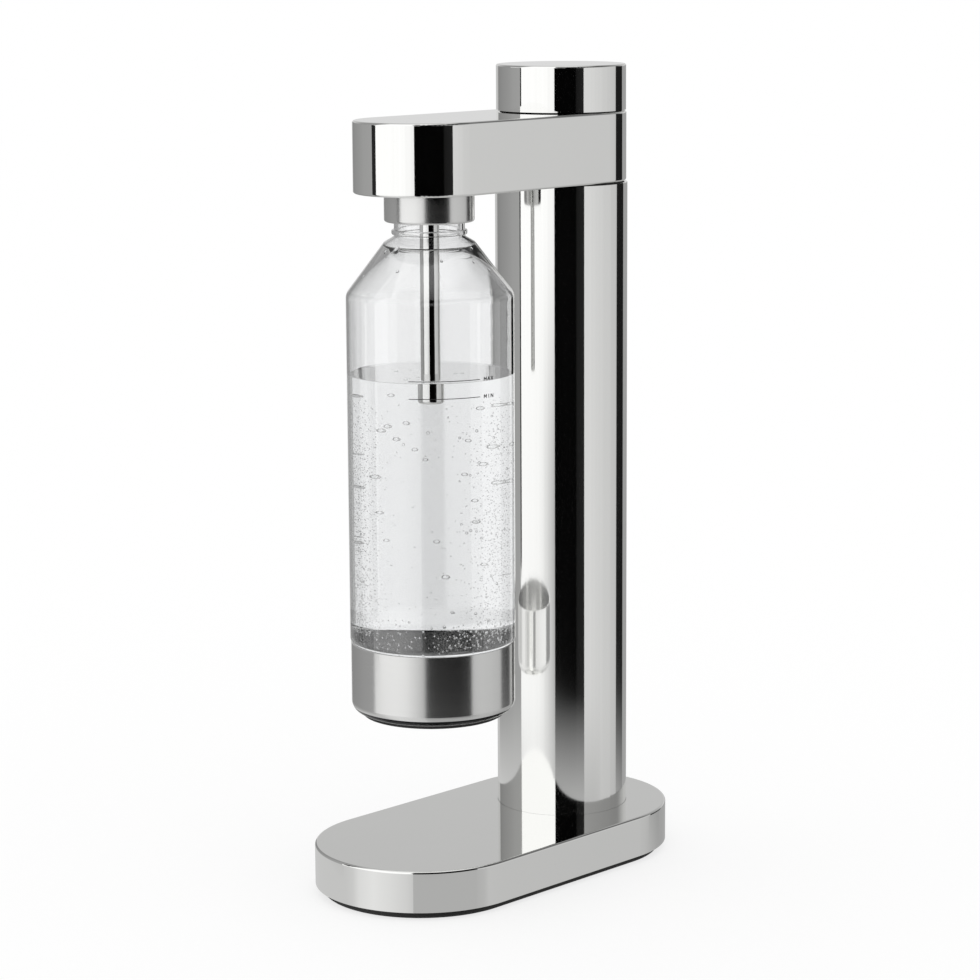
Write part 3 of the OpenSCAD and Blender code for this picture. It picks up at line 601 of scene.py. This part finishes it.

# The cup is the same steel, with painted light. Seen straight, its inside walls and floor are
# coloured near black, a painted shade that shows through the water as the dark band above the rim.
# In mirrors the cup is coloured white and glows a little, a painted reflection and painted glow,
# because its image in the column is nearly as light as the softbox beside it. The foot ring stays
# out of mirrors.
cup_low, cup_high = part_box("bottle_cup")
cup_skin = 0.5 * MM
cup_glow = 0.30
inside_glow = 0.5
cup_steel, cup_shader, cup_belt = brushed("cup_steel", (0.80, 0.80, 0.79), 0.19, 2200.0)
cup_tree = cup_steel.node_tree
cup_place = cup_tree.nodes.new("ShaderNodeTexCoord")
cup_parts = cup_tree.nodes.new("ShaderNodeSeparateXYZ")
cup_tree.links.new(cup_place.outputs["Object"], cup_parts.inputs[0])
cup_paths = cup_tree.nodes.new("ShaderNodeLightPath")
mirrors = cup_paths.outputs["Glossy Depth"]
seen_straight = add_math(cup_tree, "LESS_THAN", mirrors, 0.5)
seen_once = add_math(cup_tree, "COMPARE", mirrors, 1.0, 0.4)
inside_mask = add_math(cup_tree, "LESS_THAN", cup_belt.outputs["Reach"], cup_high.x - cup_skin)
floor_mask = add_math(cup_tree, "GREATER_THAN", cup_parts.outputs["Z"], cup_low.z + cup_skin)
# Painted shade: seen straight, the inside walls and floor of the cup get a near-black colour.
painted_shade_share = add_math(cup_tree, "MULTIPLY", inside_mask, floor_mask)
painted_shade_share = add_math(cup_tree, "MULTIPLY", painted_shade_share, seen_straight)
# Painted reflection: in mirrors the cup's colour is white instead of its brushed steel colour.
cup_painted_brightness = cup_tree.nodes.new("ShaderNodeMixRGB")
cup_painted_brightness.inputs[1].default_value = (1.0, 1.0, 0.99, 1)
cup_tree.links.new(seen_straight, cup_painted_brightness.inputs[0])
cup_tree.links.new(cup_shader.inputs["Base Color"].links[0].from_socket, cup_painted_brightness.inputs[2])
cup_painted_shade = cup_tree.nodes.new("ShaderNodeMixRGB")
cup_painted_shade.inputs[2].default_value = (0.015, 0.016, 0.017, 1)
cup_tree.links.new(painted_shade_share, cup_painted_shade.inputs[0])
cup_tree.links.new(cup_painted_brightness.outputs[0], cup_painted_shade.inputs[1])
cup_tree.links.new(cup_painted_shade.outputs[0], cup_shader.inputs["Base Color"])
# Painted glow: in mirrors the cup gives off light, though it is no lamp. Its outside glows fully, and
# its inside glows at half strength in a first mirror.
outer_side = add_math(cup_tree, "SUBTRACT", 1.0, inside_mask)
inside_share = add_math(cup_tree, "MULTIPLY", seen_once, inside_glow)
glow_share = add_math(cup_tree, "MAXIMUM", outer_side, inside_share)
in_mirror = add_math(cup_tree, "SUBTRACT", 1.0, seen_straight)
full_glow = add_math(cup_tree, "MULTIPLY", in_mirror, cup_glow)
glow = add_math(cup_tree, "MULTIPLY", full_glow, glow_share)
cup_shader.inputs["Emission Color"].default_value = (1, 1, 1, 1)
cup_tree.links.new(glow, cup_shader.inputs["Emission Strength"])
dress(["bottle_cup"], cup_steel)
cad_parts["bottle_foot_ring"].visible_glossy = False

# Bottle: one blow-moulded shell of clear plastic. It is narrowed where the cup goes on, has a
# slanted shoulder with a flat ring round the neck, and a bead and a thread on the neck.
lip_z = bottle_high.z
bottle_r = bottle_high.x
bottle_wall = 1.4 * MM
neck_wall = 2.0 * MM
neck_r = 18.0 * MM
bead_r = 19.3 * MM
bead_low = lip_z - 18.8 * MM
bead_high = lip_z - 16.2 * MM
neck_foot = lip_z - 20.0 * MM
shelf_r = 23.2 * MM
shelf_z = lip_z - 22.7 * MM
rim_r = 22.0 * MM
rim_drop = 2.0 * MM
shoulder_foot = lip_z - 48.7 * MM
shoulder_blend = 7.0 * MM
waist_r = 41.5 * MM
waist_low = cup_high.z + 0.1 * MM
waist_high = cup_high.z + 1.5 * MM
foot_edge = 4.7 * MM
even_edge = 1.0 * MM
foot_dome = 9.0 * MM
foot_round = 0.6 * MM
bead_round = 0.9 * MM
lip_round = 0.6 * MM
bore_round = 0.5 * MM
thread_reach = 1.2 * MM
thread_pitch = 3.2 * MM
thread_width = 1.1 * MM
thread_low = lip_z - 10.6 * MM
thread_turns = 2
bottle_steps = 192


def arc(centre_r, centre_z, radius, start, end, steps):
    points = []
    for i in range(steps + 1):
        angle = math.radians(start + (end - start) * i / steps)
        points.append((centre_r + radius * math.cos(angle), centre_z + radius * math.sin(angle)))
    return points


def lathe(outline, steps, thread=None):
    form = bmesh.new()
    loops = []
    for r, z in outline[1:-1]:
        loop = []
        for i in range(steps):
            angle = 2 * math.pi * i / steps
            wide = r + (thread(r, z, angle) if thread else 0)
            loop.append(form.verts.new((bottle_axis.x + wide * math.sin(angle),
                                        bottle_axis.y - wide * math.cos(angle), z)))
        loops.append(loop)
    for loop, after in zip(loops, loops[1:]):
        for i in range(steps):
            form.faces.new((loop[i], loop[(i + 1) % steps], after[(i + 1) % steps], after[i]))
    for (r, z), loop in ((outline[0], loops[0]), (outline[-1], loops[-1])):
        pole = form.verts.new((bottle_axis.x, bottle_axis.y, z))
        for i in range(steps):
            form.faces.new((pole, loop[i], loop[(i + 1) % steps]))
    bmesh.ops.recalc_face_normals(form, faces=form.faces)
    return form


def finish_piece(name, form, material, body, sharp=32):
    mesh = bpy.data.meshes.new(name)
    form.to_mesh(mesh)
    form.free()
    mesh.shade_smooth()
    mesh.set_sharp_from_angle(angle=math.radians(sharp))
    mesh.materials.append(material)
    piece = bpy.data.objects.new(name, mesh)
    bpy.context.scene.collection.objects.link(piece)
    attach(piece, body)
    return piece


def neck_thread(r, z, angle):
    if abs(r - neck_r) > 0.01 * MM or not bead_high < z < lip_z - 1.0 * MM:
        return 0
    turn_here = angle / (2 * math.pi)
    best = 0
    for turn in range(thread_turns):
        middle = thread_low + thread_pitch * (turn + turn_here)
        apart = abs(z - middle) / thread_width
        if apart < 1:
            along = (turn + turn_here) / thread_turns
            ends = min(1, 12 * along, 12 * (1 - along))
            best = max(best, thread_reach * ends * (1 - apart * apart))
    return best


shoulder_slant = math.degrees(math.atan2(shelf_z - shoulder_foot, bottle_r - shelf_r))
shoulder_turn = 90 - shoulder_slant


def bottle_outline(wall, steps=10):
    blend = shoulder_blend - wall
    lean = math.tan(math.radians(shoulder_turn / 2))
    foot = shoulder_foot - shoulder_blend * lean - wall * lean
    edge = shelf_r - wall * math.tan(math.radians(shoulder_slant / 2))
    return ([(bottle_r - wall, foot - even_edge)]
            + arc(bottle_r - wall - blend, foot, blend, 0, shoulder_turn, steps)
            + ([(edge + 1.0 * MM, shelf_z - wall - 1.3 * MM), (rim_r, shelf_z - rim_drop),
                (rim_r - 0.7 * MM, shelf_z - 0.8 * MM)] if wall else
               [(edge + 0.5 * MM, shelf_z - 0.7 * MM), (edge, shelf_z)]))


# An extra ring stands beside each corner of a tall wall, even_edge away, so that the wall's
# smooth shading stays level.
foot_z = bottle_low.z
outer = [(0, foot_z + foot_dome), (waist_r / 2, foot_z + foot_dome / 2),
         (waist_r - 3 * foot_edge, foot_z + foot_round)]
outer += arc(waist_r - 2.6 * foot_edge, foot_z + foot_round, foot_round, 250, 270, 2)
outer += arc(waist_r - foot_edge, foot_z + foot_edge, foot_edge, 270, 360, 10)
outer += [(waist_r, foot_z + foot_edge + even_edge), (waist_r, waist_low - even_edge),
          (waist_r, waist_low), (waist_r + 0.5 * MM, waist_low + 0.4 * MM),
          (bottle_r - 0.2 * MM, waist_high - 0.3 * MM), (bottle_r, waist_high + 0.2 * MM),
          (bottle_r, waist_high + 0.2 * MM + even_edge)]
outer += bottle_outline(0)
outer += [(neck_r + 0.8 * MM, neck_foot - 0.1 * MM), (neck_r, neck_foot + 0.6 * MM), (neck_r, bead_low)]
outer += arc(bead_r - bead_round, bead_low + bead_round, bead_round, 290, 360, 5)
outer += arc(bead_r - bead_round, bead_high - bead_round, bead_round, 0, 70, 5)
neck_steps = 48
neck_start = bead_high + 0.1 * MM
outer += [(neck_r, neck_start + (lip_z - lip_round - neck_start) * i / neck_steps)
          for i in range(neck_steps + 1)]
outer += arc(neck_r - lip_round, lip_z - lip_round, lip_round, 20, 90, 4)
bore_r = neck_r - neck_wall
inner_r = bottle_r - bottle_wall
inner_foot = foot_z + bottle_wall
inside = arc(bore_r + bore_round, lip_z - bore_round, bore_round, 90, 180, 4)
inside += [(bore_r, neck_foot - 0.2 * MM), (bore_r + 0.6 * MM, neck_foot - 1.0 * MM)]
inside += reversed(bottle_outline(bottle_wall))
inside += [(inner_r, waist_high + 1.2 * MM + even_edge), (inner_r, waist_high + 1.2 * MM),
           (inner_r - 0.3 * MM, waist_high + 0.4 * MM),
           (waist_r - bottle_wall + 0.2 * MM, waist_low + 0.6 * MM),
           (waist_r - bottle_wall, waist_low - 0.4 * MM),
           (waist_r - bottle_wall, waist_low - 0.4 * MM - even_edge),
           (waist_r - bottle_wall, foot_z + foot_edge + even_edge)]
inside += arc(waist_r - foot_edge, foot_z + foot_edge, foot_edge - bottle_wall, 0, -90, 8)
inside += [(waist_r - 3 * foot_edge, inner_foot), (waist_r / 2, inner_foot + foot_dome / 2),
           (0, inner_foot + foot_dome)]

clear_plastic, clear = new_material("clear_plastic", (0.965, 0.97, 0.972), 0.0, 0.0)
clear.inputs["Transmission Weight"].default_value = 1.0
clear.inputs["IOR"].default_value = 1.62
clear.inputs["Coat Weight"].default_value = 0.4
blown = place_effect(clear_plastic, skin, **{"Grain size": 60.0, "Patch size": 22.0})
vary(clear_plastic, blown.outputs["Patches"], clear.inputs["Base Color"],
     (0.952, 0.956, 0.96), (0.97, 0.973, 0.975))
vary(clear_plastic, blown.outputs["Grain"], clear.inputs["Roughness"], 0.0, 0.012)
emboss(clear_plastic, clear, blown.outputs["Patches"], 0.00012)
bottle_form = lathe(outer + inside, bottle_steps, neck_thread)
bottle_shell = finish_piece("bottle_shell", bottle_form, clear_plastic, "bottle")
bottle_shell.visible_glossy = False
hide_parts("bottle_body")

# Water: it fills the bottle to the upper mark and creeps up a little at the wall. Gas bubbles
# sit along the wall, and each is a small hollow in the water.
water_z = 271.0 * MM
wall_overlap = 0.3 * MM
creep = 0.5 * MM
creep_width = 3.0 * MM
creep_steps = 8
creep_power = 2.2
water_sides = 128
water_r = inner_r + wall_overlap
water_foot = inner_foot - wall_overlap
water_waist = waist_r - bottle_wall + wall_overlap
water_outline = [(0, water_foot + foot_dome), (waist_r / 2, water_foot + foot_dome / 2),
                 (waist_r - 3 * foot_edge, water_foot)]
water_outline += arc(waist_r - foot_edge, foot_z + foot_edge,
                     foot_edge - bottle_wall + wall_overlap, 270, 360, 8)
water_outline += [(water_waist, foot_z + foot_edge + even_edge),
                  (water_waist, waist_low - 0.4 * MM - even_edge),
                  (water_waist, waist_low - 0.4 * MM), (water_waist + 0.2 * MM, waist_low + 0.6 * MM),
                  (water_r - 0.3 * MM, waist_high + 0.4 * MM), (water_r, waist_high + 1.2 * MM),
                  (water_r, waist_high + 1.2 * MM + even_edge)]
water_outline += [(water_r, water_z + creep)]
for i in range(1, creep_steps + 1):
    share = i / creep_steps
    water_outline.append((water_r - wall_overlap - creep_width * share,
                          water_z + creep * (1 - share) ** creep_power))
water_outline += [(water_r / 2, water_z), (0, water_z)]
water_form = lathe(water_outline, water_sides)

view_azimuth = math.degrees(math.atan2(camera_place.x - bottle_axis.x,
                                       bottle_axis.y - camera_place.y))
chance = random.Random(7)


def ball_of(subdivisions):
    ball = bmesh.new()
    bmesh.ops.create_icosphere(ball, subdivisions=subdivisions, radius=1.0)
    points = [vert.co.copy() for vert in ball.verts]
    faces = [tuple(vert.index for vert in reversed(face.verts)) for face in ball.faces]
    ball.free()
    return points, faces


tiny_ball = ball_of(1)
round_ball = ball_of(2)
large_ball = ball_of(3)


def hollow(form, ball, azimuth, out, z, size):
    angle = math.radians(view_azimuth + azimuth)
    place = Vector((bottle_axis.x + out * math.sin(angle), bottle_axis.y - out * math.cos(angle), z))
    verts = [form.verts.new(place + size * point) for point in ball[0]]
    for face in ball[1]:
        form.faces.new([verts[i] for i in face])


wall_r = inner_r - 0.05 * MM
cup_top = cup_high.z
bubble_foot = cup_top + 8 * MM
bubble_top = water_z - 9 * MM
for middle, spread, count in ((-66, 14, 2200), (54, 15, 1400), (0, 35, 110), (180, 60, 120)):
    for i in range(count):
        size = chance.uniform(0.18, 0.42) * MM
        z = bubble_foot + (bubble_top - bubble_foot) * (1 - chance.random() ** 0.75)
        hollow(water_form, tiny_ball, chance.gauss(middle, spread), wall_r - size, z, size)

# Larger ones: how many, their sizes, their heights, how they lie round the bottle, how many
# radii they hang off the wall, and the ball that they are made from.
for count, sizes, heights, draw_azimuth, off_wall, ball in (
        (150, (0.25, 0.5), (cup_top - 5 * MM, cup_top + 17 * MM),
         lambda: chance.uniform(-80, 80), 1.1, round_ball),
        (100, (0.35, 0.55), (cup_top + 2.5 * MM, cup_top + 14 * MM),
         lambda: chance.gauss(40, 26), 1.1, round_ball),
        (50, (0.5, 0.9), (cup_top - 4 * MM, water_z - 12 * MM),
         lambda: chance.gauss(38, 24), 1.3, round_ball),
        (30, (0.8, 1.2), (cup_top + 25 * MM, water_z - 14 * MM),
         lambda: 180 + chance.uniform(-35, 35), 1.2, large_ball)):
    for i in range(count):
        size = chance.uniform(*sizes) * MM
        z = chance.uniform(*heights)
        hollow(water_form, ball, draw_azimuth(), wall_r - off_wall * size, z, size)


def clear_liquid(name, colour, ior, sizes, low, high, swell):
    material, shader = new_material(name, colour, 0.0, 0.0)
    shader.inputs["Transmission Weight"].default_value = 1.0
    shader.inputs["IOR"].default_value = ior
    ripples = place_effect(material, skin, **{"Grain size": sizes[0], "Patch size": sizes[1]})
    vary(material, ripples.outputs["Patches"], shader.inputs["Base Color"], low, high)
    emboss(material, shader, ripples.outputs["Patches"], swell)
    return material


# The water's level bends light less than water does, so that the shell behind it stays light.
clear_water = clear_liquid("clear_water", (0.985, 0.99, 0.992), 1.333, (120.0, 35.0),
                           (0.975, 0.982, 0.985), (0.99, 0.993, 0.994), 0.00005)
calm_surface = clear_liquid("calm_surface", (0.985, 0.99, 0.992), 1.12, (120.0, 35.0),
                            (0.98, 0.985, 0.987), (0.99, 0.993, 0.994), 0.00005)
water = finish_piece("water", water_form, clear_water, "bottle")
water.data.materials.append(calm_surface)
for polygon in water.data.polygons:
    if polygon.center.z > water_z - 1 * MM and polygon.normal.z > 0.5:
        polygon.material_index = 1
water.visible_glossy = False

# Fill marks: two thin black lines printed on the bottle at the highest and lowest levels, each
# with its word beside it. The ink stands a little proud of the wall.
ink_line = 0.36 * MM
ink_letter = 0.43 * MM
ink_low = bottle_r - 0.02 * MM
ink_high = bottle_r + 0.04 * MM
letter_high = 1.9 * MM
letter_wide = 1.5 * MM
letter_step = 2.3 * MM
line_start = -15
line_end = 35
word_start = 38.5
letters = {
    "M": (((0, 0), (0, 1)), ((0, 1), (0.5, 0.35)), ((0.5, 0.35), (1, 1)), ((1, 1), (1, 0))),
    "A": (((0, 0), (0.5, 1)), ((0.5, 1), (1, 0)), ((0.2, 0.36), (0.8, 0.36))),
    "X": (((0, 0), (1, 1)), ((0, 1), (1, 0))),
    "I": (((0.5, 0), (0.5, 1)),),
    "N": (((0, 0), (0, 1)), ((0, 1), (1, 0)), ((1, 0), (1, 1))),
}
ink_form = bmesh.new()


def ink_point(along, z, r):
    angle = math.radians(view_azimuth) + along / bottle_r
    return (bottle_axis.x + r * math.sin(angle), bottle_axis.y - r * math.cos(angle), z)


def ink_stroke(start, end, width):
    start, end = Vector(start), Vector(end)
    steps = max(1, round((end - start).length / (1.2 * MM)))
    side_way = (end - start).normalized().orthogonal() * width / 2
    loops = []
    for i in range(steps + 1):
        middle = start.lerp(end, i / steps)
        loops.append([ink_form.verts.new(ink_point(edge.x, edge.y, r))
                      for edge, r in ((middle - side_way, ink_low), (middle - side_way, ink_high),
                                      (middle + side_way, ink_high), (middle + side_way, ink_low))])
    for loop, after in zip(loops, loops[1:]):
        for i in range(4):
            ink_form.faces.new((loop[i], loop[(i + 1) % 4], after[(i + 1) % 4], after[i]))
    ink_form.faces.new(loops[0])
    ink_form.faces.new(reversed(loops[-1]))


for word, level in (("MAX", 272.5 * MM), ("MIN", 263.7 * MM)):
    ink_stroke((math.radians(line_start) * bottle_r, level),
               (math.radians(line_end) * bottle_r, level), ink_line)
    for i, letter in enumerate(word):
        left = math.radians(word_start) * bottle_r + i * letter_step
        for start, end in letters[letter]:
            ink_stroke((left + start[0] * letter_wide, level + (start[1] - 0.5) * letter_high),
                       (left + end[0] * letter_wide, level + (end[1] - 0.5) * letter_high), ink_letter)
bmesh.ops.recalc_face_normals(ink_form, faces=ink_form.faces)
black_ink, ink = new_material("black_ink", (0.012, 0.012, 0.012), 0.0, 0.5)
ink_skin = place_effect(black_ink, skin, **{"Grain size": 2500.0, "Patch size": 400.0})
vary(black_ink, ink_skin.outputs["Patches"], ink.inputs["Base Color"],
     (0.008, 0.008, 0.008), (0.03, 0.03, 0.03))
vary(black_ink, ink_skin.outputs["Grain"], ink.inputs["Roughness"], 0.4, 0.6)
fill_marks = finish_piece("fill_marks", ink_form, black_ink, "bottle")
fill_marks.visible_glossy = False

# Droplets: a few beads of condensed water that cling to the slanted shoulder, each flattened
# against it and a little heavier at its lower end. They are given by azimuth, height and radius.
drop_sag = 0.25
drop_flat = 0.5
drop_form = bmesh.new()
slant_way = Vector((math.sin(math.radians(shoulder_slant)), math.cos(math.radians(shoulder_slant))))
for azimuth, drop_z, size in ((-41, 335.4, 2.0), (-58, 334.2, 1.0), (57, 335.6, 1.1), (12, 331.0, 0.8),
                              (-30, 326.0, 0.9), (48, 329.5, 0.7), (64, 325.0, 1.0), (-70, 322.0, 0.8)):
    out = shelf_r + (shelf_z - drop_z * MM) * (bottle_r - shelf_r) / (shelf_z - shoulder_foot)
    angle = math.radians(view_azimuth + azimuth)
    outward = Vector((math.sin(angle), -math.cos(angle), 0))
    round_way = Vector((math.cos(angle), math.sin(angle), 0))
    face_way = outward * slant_way.x + Vector((0, 0, slant_way.y))
    down_way = face_way.cross(round_way)
    place = Vector((bottle_axis.x, bottle_axis.y, drop_z * MM)) + outward * out
    verts = []
    for point in round_ball[0]:
        sag = 1 + drop_sag * max(0, point.y)
        verts.append(drop_form.verts.new(place + size * MM * (
            round_way * point.x + down_way * point.y * sag + face_way * point.z * drop_flat)))
    for face in round_ball[1]:
        drop_form.faces.new([verts[i] for i in reversed(face)])
clear_drops = clear_liquid("clear_drops", (0.99, 0.99, 0.99), 1.333, (300.0, 120.0),
                           (0.98, 0.985, 0.987), (0.995, 0.996, 0.996), 0.00004)
droplets = finish_piece("droplets", drop_form, clear_drops, "bottle", 180)
droplets.visible_glossy = False
